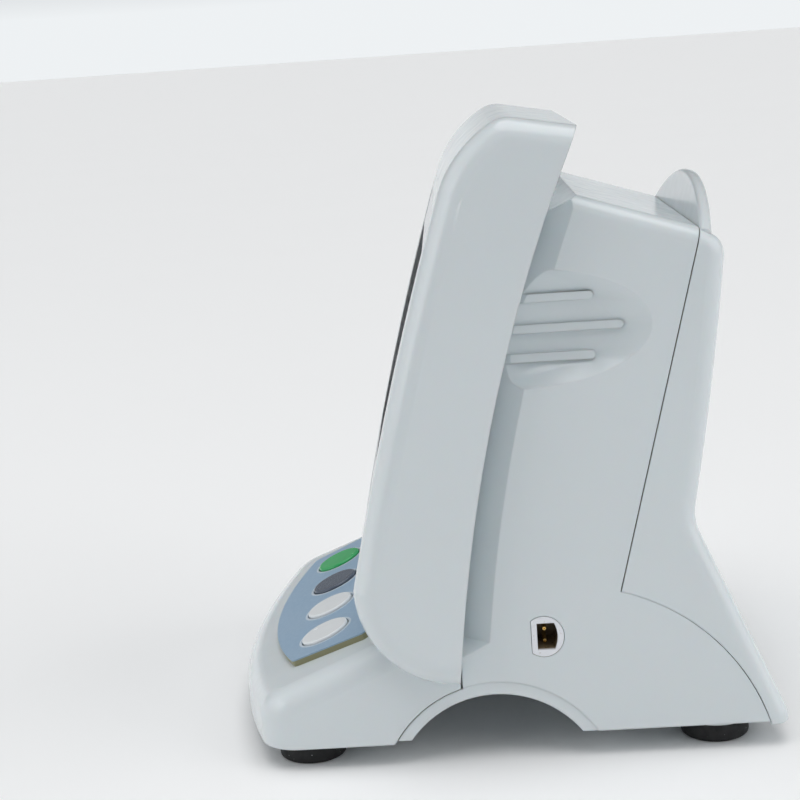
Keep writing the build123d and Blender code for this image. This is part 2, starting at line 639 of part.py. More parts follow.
def rear_shell():
    """Tower, bottom panel and back plate in one moulding, open to the front and at the bay."""
    sides = wedge(BASE_WIDTH)
    tower = tower_block()
    base = slab(rear_base_face()) & sides
    below, inside = slab(floor_face()), slab(floor_face(WALL))
    panel = inside - below
    rear_panel = panel & wedge(BASE_WIDTH, TRAY_INSET) & slab(seam_side(0.0, -BIG))
    rear_panel &= block((-BIG, BIG), (SLIT_Y - 1, BIG), (0, BIG))
    front_panel = panel & front_plan(TRAY_INSET, SLIT_Y)
    plate_face = side_view(
        bow(hood_rear, HOOD_FOOT_Z + TRAY_INSET, HOOD_TOP_Z, PLATE_SHIFT),
        Line((hood_rear(HOOD_TOP_Z, PLATE_SHIFT), HOOD_TOP_Z),
             (hood_rear(HOOD_TOP_Z, PLATE_SHIFT - WALL), HOOD_TOP_Z)),
        bow(hood_rear, HOOD_TOP_Z, HOOD_FOOT_Z + TRAY_INSET, PLATE_SHIFT - WALL),
        Line((hood_rear(HOOD_FOOT_Z + TRAY_INSET, PLATE_SHIFT - WALL), HOOD_FOOT_Z + TRAY_INSET),
             (hood_rear(HOOD_FOOT_Z + TRAY_INSET, PLATE_SHIFT), HOOD_FOOT_Z + TRAY_INSET)))
    plate = slab(plate_face) & hood_block(TRAY_INSET)

    low_room = block((-BIG, BIG), (-BIG, BIG), (-20, NECK_FOOT_Z + 0.01)) & wedge(BASE_WIDTH, WALL)
    for side in (-1, 1):
        low_room -= neck_cutter(side, WALL)
    room = tower_block(WALL) + (low_room - inside)
    recess = below & wedge(BASE_WIDTH, ARCH_SIDE) & block((-BIG, BIG), (-BIG, SEAM_FOOT_Y - 5), (-20, BIG))
    shell = tower + base + plate
    shell = shell - (room & slab(seam_side(BULKHEAD[1], -BIG)))
    shell = shell - (room & slab(seam_side(BULKHEAD[0], BIG)))
    shell = shell - recess + rear_panel + front_panel
    lip = slab(Pos(ARCH_Y, ARCH_TOP_Z - ARCH_RADIUS) * Circle(LIP_R)) - wedge(BASE_WIDTH, ARCH_STEP)
    shell -= lip

    half, low, high = tray_bay()
    edge = TRAY_T + GAP
    shell -= seam_block(half + edge, low - edge, high + edge, -BULKHEAD[1] - 5, 5)
    for side in (-1, 1):
        shell += channel(side, CHANNEL_WALL) - below
        shell += cover_clamp(side)
        shell -= cover_clamp(side, GAP)
        shell += scoop(side, SCOOP_BACKING) & tower
    shell += speaker_ring()
    for side in (-1, 1):
        shell -= channel(side)
        shell -= scoop(side)
        for rib in scoop_ribs(side):
            shell += rib & tower
        place = case_screw_place(side)
        shell -= place * rod(SCREW_D + 2 * FIT, -2, CHANNEL_END_T + 6)
        shell -= place * rod(SCREW_HEAD_D + 3 * FIT, -4, 0)
        x = side * COVER_SCREW_X
        shell -= Pos(x, COVER_SCREW_Y, 0) * rod(SCREW_D + 2 * FIT, 0, PANEL_Z + WALL + 0.1)
        shell -= Pos(x, COVER_SCREW_Y, 0) * rod(SCREW_D + FIT / 2, PANEL_Z, PANEL_Z + COVER_SCREW_L + 1)
        for y in FOOT_Y:
            ring = rod(FOOT_RING_D, PANEL_Z - FOOT_RING_T, PANEL_Z) - rod(FOOT_D + FIT, 0, PANEL_Z)
            shell += Pos(side * FOOT_X, y, 0) * ring
    for slot in grille_slots():
        shell -= slot
    return shell - socket_bar(socket_outline(FIT / 2), -5, 10)


# ---------------------------------------------------------------- front shell with its bosses
def keypad_plane():
    """The keypad plate's top face: x across, y up the slope, z out of the face."""
    tilt = radians(KEY_TILT)
    return Location(Plane(origin=(0, KEY_ROW_Y, KEY_ROW_Z), x_dir=(1, 0, 0),
                          z_dir=(0, -sin(tilt), cos(tilt))))


def display_plane():
    """Tangent to the hood's front face at the window's middle: y up the face, z out of it."""
    lean = asin((DISPLAY_Z - HOOD_FRONT_AXIS[1]) / HOOD_FRONT_R)
    return Location(Plane(origin=(0, hood_front(DISPLAY_Z), DISPLAY_Z), x_dir=(1, 0, 0),
                          z_dir=(0, -cos(lean), sin(lean))))


def key_places():
    """The four keys' middles, from +X to -X."""
    return [(1.5 - number) * KEY_PITCH for number in range(4)]


def display_sheet(half, height, near, far, corner):
    """A sheet that follows the hood's front face, between two depths behind it."""
    low, high = DISPLAY_Z - height / 2, DISPLAY_Z + height / 2
    face = side_view(
        bow(hood_front, low, high, near),
        Line((hood_front(high, near), high), (hood_front(high, far), high)),
        bow(hood_front, high, low, far),
        Line((hood_front(low, far), low), (hood_front(low, near), low)))
    sheet = slab(face, half)
    corners = [e for e in sheet.edges() if abs((e @ 1).X - (e @ 0).X) + abs((e @ 1).Z - (e @ 0).Z) < 0.01]
    return fillet(corners, corner)


def front_shell():
    """Display hood and front of the base in one moulding, open underneath and behind."""
    outer_base = base_block()
    shell = hood_block() + outer_base - hood_block(WALL) - base_block(WALL)
    under_keys = -(PLATE_T + WALL)
    board_face = switch_top() - SWITCH_H
    for x, up in KEY_BOSSES:
        boss = Pos(x, up, 0) * rod(BOSS_D, board_face, under_keys + 0.5)
        shell += keypad_plane() * boss
    for x, up in DISPLAY_BOSSES:
        boss = Pos(x, up, 0) * rod(BOSS_D, -BOARD_DEPTH, -WALL)
        shell += display_plane() * boss
    for side in (-1, 1):
        low = PANEL_Z + WALL + GAP
        boss = block((side * CHANNEL_X - 3.7, side * CHANNEL_X + 3.7),
                     (-47.0, CHANNEL_Y[0] - CHANNEL_END_T - GAP), (low, 40))
        shell += boss & outer_base
        shell -= case_screw_place(side) * rod(SCREW_D + FIT / 2, 0, CASE_SCREW_L + 1)
    for x in key_places():
        shell -= keypad_plane() * (Pos(x, 0, 0) * rod(KEY_D + 2 * KEY_CLEARANCE, -(PLATE_T + WALL) - 1, 2))
    pilot_d, pilot_l = SMALL_SCREW_D + FIT / 2, SMALL_SCREW_L - BOARD_T + PILOT_ROOM
    for x, up in KEY_BOSSES:
        pilot = rod(pilot_d, board_face - 1, board_face + pilot_l)
        shell -= keypad_plane() * (Pos(x, up, 0) * pilot)
    for x, up in DISPLAY_BOSSES:
        pilot = rod(pilot_d, -BOARD_DEPTH - 1, -BOARD_DEPTH + pilot_l)
        shell -= display_plane() * (Pos(x, up, 0) * pilot)
    seat = FIT / 2
    shell -= display_sheet(WINDOW_HALF + seat, WINDOW_HEIGHT + 2 * seat, -3.0, WINDOW_SUNK + WINDOW_T + 0.05,
                           WINDOW_R)
    return shell - display_sheet(VIEW_HALF, VIEW_HEIGHT, -3.0, WALL + 3.0, WINDOW_R)


def lcd_window():
    return display_sheet(WINDOW_HALF, WINDOW_HEIGHT, WINDOW_SUNK, WINDOW_SUNK + WINDOW_T, WINDOW_R)


def display_box(half, low, high, near, far):
    return display_plane() * block((-half, half), (low, high), (-far, -near))


def lcd_glass():
    width, height, thick = GLASS_SIZE
    return display_box(width / 2, -height / 2, height / 2, GLASS_DEPTH, GLASS_DEPTH + thick)


def lcd_backlight():
    width, height, thick = GLASS_SIZE
    near = GLASS_DEPTH + thick
    return display_box(width / 2 - 0.5, -height / 2, height / 2 - 1, near, near + BACKLIGHT_T)


def main_board():
    board = display_box(BOARD_HALF, *BOARD_REACH, BOARD_DEPTH, BOARD_DEPTH + BOARD_T)
    for x, up in DISPLAY_BOSSES:
        board -= display_plane() * (Pos(x, up, 0) * rod(SMALL_SCREW_D + 2 * FIT, -20, 0))
    return board


def board_components():
    """Controller chip, buzzer driver and two connectors on the rear of the main board."""
    near = BOARD_DEPTH + BOARD_T
    chip = display_box(7, 2, 16, near, near + 1.6)
    driver = Pos(-18, 0, 0) * display_box(3, 4, 9, near, near + 1.4)
    plug = Pos(22, 0, 0) * display_box(5, -6, -1, near, near + 5)
    ribbon_socket = display_box(7.5, BOARD_REACH[0] + 2, BOARD_REACH[0] + 5.5, near, near + 3)
    return Compound([chip, driver, plug, ribbon_socket])


def board_screws():
    places = []
    for x, up in DISPLAY_BOSSES:
        screw = pan_screw(SMALL_SCREW_D, SMALL_SCREW_L, SMALL_HEAD_D, SMALL_HEAD_T)
        places.append(display_plane() * (Pos(x, up, -BOARD_DEPTH - BOARD_T) * screw))
    return Compound(places)


# ---------------------------------------------------------------- keypad
def switch_top():
    """Height of the switch bodies' top, from the plate's top face."""
    stem_end = key_flange_top() - KEY_FLANGE_T - KEY_STEM_DROP
    return stem_end - SWITCH_BUTTON_PROUD


def key_flange_top():
    return -(PLATE_T + WALL) - 0.05


def keypad_plate():
    """The overlay plate, with a bowed front edge and round holes for the keys."""
    shoulder, flank = PLATE_HALF
    front = ThreePointArc((-shoulder, PLATE_SHOULDER), (0, PLATE_FRONT), (shoulder, PLATE_SHOULDER))
    rest = Polyline((shoulder, PLATE_SHOULDER), (flank, PLATE_FLANK), (flank - 2, PLATE_REAR),
                    (2 - flank, PLATE_REAR), (-flank, PLATE_FLANK), (-shoulder, PLATE_SHOULDER))
    face = make_face(Wire([front, *rest.edges()]))
    corners = face.vertices().sort_by(Axis.Y)[:2]
    plate = Pos(0, 0, -PLATE_T) * extrude(fillet(corners, 1.5), amount=PLATE_T)
    for x in key_places():
        plate -= Pos(x, 0, 0) * rod(KEY_D + 2 * KEY_CLEARANCE, -PLATE_T - 1, 1)
    return keypad_plane() * plate


def key(x):
    """A key: its cap, the flange that keeps it in, and the stem that works the switch."""
    flange = key_flange_top()
    cap = rod(KEY_D, flange - KEY_FLANGE_T, KEY_PROUD)
    cap = fillet(cap.edges().sort_by(Axis.Z)[-1], KEY_EDGE_R)
    cap += rod(KEY_D + 2 * KEY_FLANGE, flange - KEY_FLANGE_T, flange)
    stem = rod(KEY_STEM_D, flange - KEY_FLANGE_T - KEY_STEM_DROP, flange)
    return keypad_plane() * (Pos(x, 0, 0) * (cap + stem))


def switch_button(x):
    top = switch_top()
    button = rod(SWITCH_BUTTON_D, top - SWITCH_WELL + KEY_TRAVEL + 0.2, top + SWITCH_BUTTON_PROUD)
    return keypad_plane() * (Pos(x, 0, 0) * button)


def key_switches():
    """The four switch bodies, each with a well for its button."""
    top = switch_top()
    half = SWITCH_SIZE / 2
    body = block((-half, half), (-half, half), (top - SWITCH_H, top))
    body -= rod(SWITCH_BUTTON_D + 2 * FIT, top - SWITCH_WELL, top + 1)
    return Compound([keypad_plane() * (Pos(x, 0, 0) * body) for x in key_places()])


def key_board():
    top = switch_top() - SWITCH_H
    board = block((-KEY_BOARD_HALF, KEY_BOARD_HALF), KEY_BOARD_REACH, (top - BOARD_T, top))
    for x, up in KEY_BOSSES:
        board -= Pos(x, up, 0) * rod(SMALL_SCREW_D + 2 * FIT, top - BOARD_T - 1, top + 1)
    return keypad_plane() * board


def key_board_screws():
    seat = switch_top() - SWITCH_H - BOARD_T
    screw = pan_screw(SMALL_SCREW_D, SMALL_SCREW_L, SMALL_HEAD_D, SMALL_HEAD_T)
    return Compound([keypad_plane() * (Pos(x, up, seat) * screw) for x, up in KEY_BOSSES])


# ---------------------------------------------------------------- battery bay and cover
def battery_tray():
    """The open box that holds the cells, with a flange that rests on the bulkhead."""
    half, low, high = tray_bay()
    floor = -CELL_DEPTH - CELL_D / 2 - GAP
    top = -BULKHEAD[0] + TRAY_T
    tray = seam_block(half + TRAY_T, low - TRAY_T, high + TRAY_T, floor - TRAY_T, top)
    reach = TRAY_T + TRAY_FLANGE
    tray += seam_block(half + reach, low - reach, high + reach, -BULKHEAD[0], top)
    tray -= seam_block(half, low, high, floor, 10)
    for number in range(CELL_COUNT - 1):
        x = (number - (CELL_COUNT - 2) / 2) * CELL_PITCH
        rib = block((x - 0.5, x + 0.5), (low + 4, high - 4), (floor - 0.1, floor + TRAY_RIB_H))
        tray += seam_plane() * rib
    return tray


def cell_x(number):
    return (number - (CELL_COUNT - 1) / 2) * CELL_PITCH


def cell(number):
    """One cell. Neighbours point opposite ways."""
    nub_d, nub_l = CELL_NUB
    can = rod(CELL_D, -CELL_L / 2, CELL_L / 2 - nub_l)
    can = fillet(can.edges().filter_by(GeomType.CIRCLE), 0.6)
    body = can + rod(nub_d, CELL_L / 2 - nub_l - 0.5, CELL_L / 2)
    turn = -90 if number % 2 == 0 else 90
    return seam_plane() * (Pos(cell_x(number), CELL_MIDDLE, -CELL_DEPTH) * Rot(turn, 0, 0) * body)


def battery_contacts():
    """A flat contact at each positive end and a coned spring at each negative end."""
    _, low, high = tray_bay()
    room = CONTACT_ROOM - 0.1
    plate = block((-5.5, 5.5), (-5.5, 5.5), (0, CONTACT_T))
    button = plate + rod(4.0, 0, room)
    hollow_cone = Pos(0, 0, room / 2) * (Cone(4.6, 2.6, room) - Cone(4.2, 2.2, room))
    spring = plate + hollow_cone
    pieces = []
    for number in range(CELL_COUNT):
        positive_up = number % 2 == 0
        foot = Pos(cell_x(number), low, -CELL_DEPTH) * Rot(-90, 0, 0)
        head = Pos(cell_x(number), high, -CELL_DEPTH) * Rot(90, 0, 0)
        pieces.append(seam_plane() * foot * (spring if positive_up else button))
        pieces.append(seam_plane() * head * (button if positive_up else spring))
    return Compound(pieces)


def cover_block(inset=0.0):
    """The cover's outer form carried forward through the seam. Set in, it is the hollow."""
    front_y = -20.0
    slope = (SEAM_TOP[1] - COVER_TOP[1]) / (COVER_TOP[0] - SEAM_TOP[0])
    roof = (front_y, SEAM_TOP[1] + slope * (SEAM_TOP[0] - front_y))
    heel = (REAR_Y, COVER_FOOT_Z + COVER_HEEL)
    outline = side_view(
        Line(roof, COVER_TOP), bulge(COVER_TOP, COVER_WAIST, COVER_BACK_R), Line(COVER_WAIST, heel),
        *Polyline(heel, (REAR_Y, COVER_FOOT_Z), (front_y, COVER_FOOT_Z), roof).edges())
    for point, radius in ((COVER_TOP, COVER_TOP_R), (COVER_WAIST, COVER_WAIST_R), (heel, COVER_HEEL_R)):
        corner = outline.vertices().sort_by_distance((point[0], point[1], 0))[0]
        outline = fillet(corner, radius)
    if inset:
        outline = offset(outline, -inset)
    solid = slab(outline) & wedge(BASE_WIDTH, inset)
    rim = [e for e in solid.edges()
           if abs(abs((e @ 0.5).X) - (BASE_WIDTH / 2 - inset - SIDE_LEAN * (e @ 0.5).Z)) < 0.01
           and (e @ 0.5).Z > COVER_FOOT_Z + inset + 0.3 and (e @ 0.5).Y > front_y + inset + 5]
    return fillet(rim, COVER_EDGE_R - inset / 2)


def rear_cover():
    """Battery cover: upper back, foot and finger crest in one moulding, open to the front."""
    behind = slab(seam_side(-SEAM, BIG))
    cover = (cover_block() & behind) - cover_block(WALL)
    rise = hypot(SEAM_TOP[0] - SEAM_CORNER[0], SEAM_TOP[1] - SEAM_CORNER[1])
    arc = ThreePointArc((-CREST_HALF, rise), (0, rise + CREST_RISE), (CREST_HALF, rise))
    foot = Polyline((CREST_HALF, rise), (CREST_HALF, rise - WALL), (-CREST_HALF, rise - WALL),
                    (-CREST_HALF, rise))
    crest = extrude(make_face(Wire([arc, *foot.edges()])), amount=CREST_T)
    rim = [e for e in crest.edges() if e.geom_type == GeomType.CIRCLE]
    crest = fillet(rim, 1.0)
    cover += seam_plane() * (Pos(0, 0, SEAM) * crest)
    low = PANEL_Z + WALL + GAP
    for side in (-1, 1):
        x = side * COVER_SCREW_X
        tab = block((x - TAB_HALF, x + TAB_HALF), (COVER_SCREW_Y - 3, REAR_Y - 1.5 * WALL),
                    (low, low + TAB_T))
        slot = SCREW_D / 2 + GAP
        tab -= block((x - slot, x + slot), (COVER_SCREW_Y - 4, COVER_SCREW_Y), (low - 1, low + TAB_T + 1))
        tab -= Pos(x, COVER_SCREW_Y, 0) * rod(2 * slot, low - 1, low + TAB_T + 1)
        cover += tab
    return cover


# ---------------------------------------------------------------- underside and socket pieces
def foot(x, y):
    pad = rod(FOOT_D, 0, PANEL_Z)
    return Pos(x, y, 0) * fillet(pad.edges().sort_by(Axis.Z)[0], 0.8)


def case_screws():
    screw = pan_screw(SCREW_D, CASE_SCREW_L, SCREW_HEAD_D, SCREW_HEAD_T)
    return Compound([case_screw_place(side) * screw for side in (-1, 1)])


def cover_screws():
    screw = pan_screw(SCREW_D, COVER_SCREW_L, SCREW_HEAD_D, SCREW_HEAD_T)
    return Compound([Pos(side * COVER_SCREW_X, COVER_SCREW_Y, PANEL_Z) * screw for side in (-1, 1)])


def rating_label():
    width, depth, thick = LABEL_SIZE
    label = extrude(RectangleRounded(width, depth, 2.0), amount=thick)
    return Pos(0, LABEL_Y, PANEL_Z - thick) * label


def speaker():
    """The speaker's basket, a cup that opens downward."""
    low = CEILING_Z + WALL
    cup = rod(SPEAKER_D, low, low + SPEAKER_H) - rod(SPEAKER_D - 2.4, low - 1, low + SPEAKER_H - 1)
    return Pos(SPEAKER_X, SPEAKER_Y, 0) * cup


def speaker_cone():
    """The paper cone in the basket, with its dust cap."""
    low = CEILING_Z + WALL
    radius = SPEAKER_D / 2 - 1.2
    cap_r, height, paper = 4.0, 2.4, 0.4
    hollow = Pos(0, 0, -0.5) * Cone(radius - 0.3, cap_r - paper, height)
    cone = Pos(0, 0, low + 1.7) * (Cone(radius - 0.1, cap_r, height) - hollow)
    cap = rod(2 * cap_r, low + 1.6, low + 2.9)
    return Pos(SPEAKER_X, SPEAKER_Y, 0) * (cone + cap)


def socket_shell():
    """The probe socket's insert, with its cavity open to +X."""
    body = socket_bar(socket_outline(), 0.0, SOCKET_DEPTH + SOCKET_BACK)
    body -= socket_bar(socket_cavity(), -5.0, SOCKET_DEPTH)
    for y, z in SOCKET_PINS:
        body -= Pos(BASE_WIDTH / 2, y, z) * Rot(0, 90, 0) * rod(SOCKET_PIN_D, -30, 0)
    return body


def socket_pins():
    surface = BASE_WIDTH / 2 - SIDE_LEAN * SOCKET_Z
    floor = surface - SOCKET_DEPTH
    pins = []
    for y, z in SOCKET_PINS:
        pin = rod(SOCKET_PIN_D, floor - SOCKET_BACK - 3, floor + SOCKET_PIN_L)
        pin = fillet(pin.edges().sort_by(Axis.Z)[-1], 0.2)
        pin -= rod(SOCKET_PIN_BORE, floor + SOCKET_PIN_L - 1, floor + SOCKET_PIN_L + 1)
        pins.append(Pos(0, y, z) * Rot(0, 90, 0) * pin)
    return Compound(pins)


def build():
    """Every sub-part by its name."""
    parts = {
        "front_shell": front_shell(),
        "rear_shell": rear_shell(),
        "rear_cover": rear_cover(),
        "lcd_window": lcd_window(),
        "lcd_glass": lcd_glass(),
        "lcd_backlight": lcd_backlight(),
        "main_board": main_board(),
        "board_components": board_components(),
        "board_screws": board_screws(),
        "keypad_plate": keypad_plate(),
        "key_switches": key_switches(),
        "key_board": key_board(),
        "key_board_screws": key_board_screws(),
        "battery_tray": battery_tray(),
        "battery_contacts": battery_contacts(),
        "case_screws": case_screws(),
        "cover_screws": cover_screws(),
        "rating_label": rating_label(),
        "speaker": speaker(),
        "speaker_cone": speaker_cone(),
        "socket_shell": socket_shell(),
        "socket_pins": socket_pins(),
    }
    for name, x in zip(("white_key_right", "white_key_left", "grey_key", "green_key"), key_places()):
        parts[name] = key(x)
        parts[name + "_switch_button"] = switch_button(x)
    for number in range(CELL_COUNT):
        parts["battery_%d" % (number + 1)] = cell(number)
    for name, x, y in (("front_left_foot", -FOOT_X, FOOT_Y[0]), ("front_right_foot", FOOT_X, FOOT_Y[0]),
                       ("rear_left_foot", -FOOT_X, FOOT_Y[1]), ("rear_right_foot", FOOT_X, FOOT_Y[1])):
        parts[name] = foot(x, y)
    return parts


os.makedirs("parts", exist_ok=True)
for part_name, solid in build().items():
    export_step(solid, "parts/%s.step" % part_name)
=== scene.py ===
"""Looks of the desk-top apex locator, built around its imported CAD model. Sizes are metres."""
from math import asin, cos, pi, radians, sin

import bmesh
import bpy
from mathutils import Matrix, Vector


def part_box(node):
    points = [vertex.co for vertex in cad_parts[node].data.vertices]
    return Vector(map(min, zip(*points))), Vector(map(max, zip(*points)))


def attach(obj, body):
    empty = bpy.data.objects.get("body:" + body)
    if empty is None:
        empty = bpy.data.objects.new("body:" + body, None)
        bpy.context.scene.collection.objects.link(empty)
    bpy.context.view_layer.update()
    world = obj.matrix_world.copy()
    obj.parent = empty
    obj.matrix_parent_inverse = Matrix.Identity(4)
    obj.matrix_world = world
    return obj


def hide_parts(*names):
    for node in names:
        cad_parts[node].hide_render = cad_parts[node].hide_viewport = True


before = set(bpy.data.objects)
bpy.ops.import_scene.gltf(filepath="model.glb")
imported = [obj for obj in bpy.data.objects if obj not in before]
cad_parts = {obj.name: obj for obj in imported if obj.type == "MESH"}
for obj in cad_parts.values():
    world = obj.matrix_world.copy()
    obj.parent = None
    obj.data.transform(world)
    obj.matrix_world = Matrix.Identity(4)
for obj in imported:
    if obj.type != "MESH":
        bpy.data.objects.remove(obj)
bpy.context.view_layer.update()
MM = 0.001


# ---------------------------------------------------------------- places taken from the design
BASE_HALF_WIDTH = 55.0 * MM                     # the sides of the base, at the floor
SIDE_LEAN = 0.12                                # inward run of the sides, per unit of height

KEY_TILT = radians(22.0)
KEY_ROW = Vector((0.0, -40.3, 22.4)) * MM       # middle of the row of keys, on the plate
KEY_PITCH = 18.6 * MM
KEY_HOLE_R = 6.05 * MM
KEY_PLACES = ("right", "middle_right", "middle_left", "left")
OVERLAY_FILM = 0.28 * MM                        # printed film on top of the keypad's core

WINDOW_MIDDLE_Z = 85.0 * MM
FRONT_BOW_R = 844.9 * MM
FRONT_BOW_AXIS = Vector((0.0, 792.8, -146.6)) * MM
VIEWING_AREA = (33.0 * MM, 26.0 * MM)           # half width and half height
MARK_DEPTH = 3.36 * MM                          # from the hood's face to the back of the marks
MARK_THICK = 0.06 * MM

SEAM_CORNER = Vector((0.0, 26.2, 35.8)) * MM    # the cover's seam, from its corner to its top
SEAM_TOP = Vector((0.0, 47.2, 112.0)) * MM

CELL_COUNT = 5
CELL_PITCH = 14.6 * MM
CELL_LENGTH = 50.5 * MM
CELL_MIDDLE = 38.0 * MM                         # up the seam's plane from its corner
CELL_DEPTH = 8.7 * MM                           # in front of the seam's plane
CONTACT_GAP = 2.55 * MM                         # from a cell's end to its contact plate


def plane_matrix(origin, x_axis, z_axis):
    """A frame with its z axis out of a plane."""
    x_axis, z_axis = Vector(x_axis).normalized(), Vector(z_axis).normalized()
    y_axis = z_axis.cross(x_axis)
    turn = Matrix((x_axis, y_axis, z_axis)).transposed()
    return Matrix.Translation(origin) @ turn.to_4x4()


def keypad_matrix():
    return plane_matrix(KEY_ROW, (1, 0, 0), (0, -sin(KEY_TILT), cos(KEY_TILT)))


def display_matrix():
    lean = asin((WINDOW_MIDDLE_Z - FRONT_BOW_AXIS.z) / FRONT_BOW_R)
    front_y = FRONT_BOW_AXIS.y - FRONT_BOW_R * cos(lean)
    return plane_matrix((0, front_y, WINDOW_MIDDLE_Z), (1, 0, 0), (0, -cos(lean), sin(lean)))


def seam_matrix():
    run, rise = SEAM_TOP.y - SEAM_CORNER.y, SEAM_TOP.z - SEAM_CORNER.z
    return plane_matrix(SEAM_CORNER, (-1, 0, 0), (0, rise, -run))


# ---------------------------------------------------------------- camera, floor and light
CAMERA_PLACE = Vector((398.507, -5.088, 153.492)) * MM
CAMERA_YAW, CAMERA_PITCH, CAMERA_ROLL = radians(-2.191), radians(11.770), radians(-3.973)
CAMERA_LENS, CAMERA_SENSOR = 75.78, 36.0        # millimetres, as Blender takes them
LAMP_TARGET = Vector((0, 0, 0.07))
SUN_SPREAD = radians(60.0)
FLOOR_HALF = 40.0                               # so wide that its edge is never seen


def add_camera():
    """The photograph's viewpoint: from the +X side, a little above the top, looking down."""
    yaw, pitch, roll = CAMERA_YAW, CAMERA_PITCH, CAMERA_ROLL
    forward = Vector((-cos(yaw) * cos(pitch), sin(yaw) * cos(pitch), -sin(pitch)))
    right = forward.cross(Vector((0, 0, 1))).normalized()
    up = right.cross(forward)
    turned_right = right * cos(roll) + up * sin(roll)
    turned_up = up * cos(roll) - right * sin(roll)
    turn = Matrix((turned_right, turned_up, -forward)).transposed().to_4x4()
    data = bpy.data.cameras.new("camera")
    data.sensor_width = CAMERA_SENSOR
    data.lens = CAMERA_LENS
    camera = bpy.data.objects.new("camera", data)
    camera.matrix_world = Matrix.Translation(CAMERA_PLACE) @ turn
    bpy.context.collection.objects.link(camera)
    bpy.context.scene.camera = camera


def add_lamp(name, data, place, direction):
    """Puts a lamp in its place, shining along a direction."""
    lamp = bpy.data.objects.new(name, data)
    aim = direction.to_track_quat("-Z", "Y")
    lamp.matrix_world = Matrix.Translation(place) @ aim.to_matrix().to_4x4()
    bpy.context.collection.objects.link(lamp)


def add_softbox(name, place, size, power):
    data = bpy.data.lights.new(name, "AREA")
    data.shape = "RECTANGLE"
    data.size, data.size_y = size
    data.energy = power
    add_lamp(name, data, place, LAMP_TARGET - Vector(place))


def add_sun(name, towards, strength):
    """A wide, even light from far away, so that the floor is lit alike everywhere."""
    data = bpy.data.lights.new(name, "SUN")
    data.energy = strength
    data.angle = SUN_SPREAD
    add_lamp(name, data, towards, -Vector(towards))


def add_studio_light():
    """Wide light from above, behind and in front, and softboxes for the gloss to reflect."""
    add_sun("top_light", towards=(0.0, 0.0, 1.0), strength=1.6)
    add_sun("rear_light", towards=(0.15, 1.0, 0.5), strength=0.9)
    add_sun("front_light", towards=(0.1, -1.0, 0.5), strength=0.6)
    add_softbox("rear_softbox", place=(0.55, 0.75, 0.50), size=(0.5, 0.5), power=0.5)
    add_softbox("front_softbox", place=(0.35, -0.8, 0.45), size=(0.5, 0.4), power=0.6)
    add_softbox("side_strip", place=(0.70, 0.0, 0.68), size=(0.6, 0.02), power=0.12)


def add_room():
    """Pale surroundings, bright along the horizon and dim overhead. The Standard view transform
    shows every colour as it is set."""
    world = bpy.data.worlds.new("studio")
    world.use_nodes = True
    tree = world.node_tree
    backdrop = tree.nodes["Background"]
    backdrop.inputs["Color"].default_value = (0.95, 0.98, 1.0, 1)
    direction = tree.nodes.new("ShaderNodeTexCoord")
    split_direction = tree.nodes.new("ShaderNodeSeparateXYZ")
    tree.links.new(direction.outputs["Generated"], split_direction.inputs[0])
    fade = tree.nodes.new("ShaderNodeMapRange")
    tree.links.new(split_direction.outputs["Z"], fade.inputs["Value"])
    for name, value in (("From Min", 0.03), ("From Max", 0.12), ("To Min", 0.90), ("To Max", 0.15)):
        fade.inputs[name].default_value = value
    tree.links.new(fade.outputs[0], backdrop.inputs["Strength"])
    bpy.context.scene.world = world
    bpy.context.scene.view_settings.view_transform = "Standard"


def add_floor():
    """A wide pale floor that runs to the horizon."""
    mesh = bpy.data.meshes.new("floor")
    corners = [(x * FLOOR_HALF, y * FLOOR_HALF, 0) for x, y in ((-1, -1), (1, -1), (1, 1), (-1, 1))]
    mesh.from_pydata(corners, [], [(0, 1, 2, 3)])
    floor = bpy.data.objects.new("floor", mesh)
    bpy.context.collection.objects.link(floor)
    paint = Paint("floor_paper", (0.93, 0.935, 0.94), 0.9)
    paint.mottle(6.0, 0.012)
    mesh.materials.append(paint.material)


# ---------------------------------------------------------------- materials
MIX_AMOUNT, MIX_FROM, MIX_TO, MIX_RESULT = 0, 6, 7, 2   # the Mix node's sockets for colours
MOTTLE_SHADE = (0.6, 0.6, 0.6)
NOISE_ROUGHNESS = 0.55


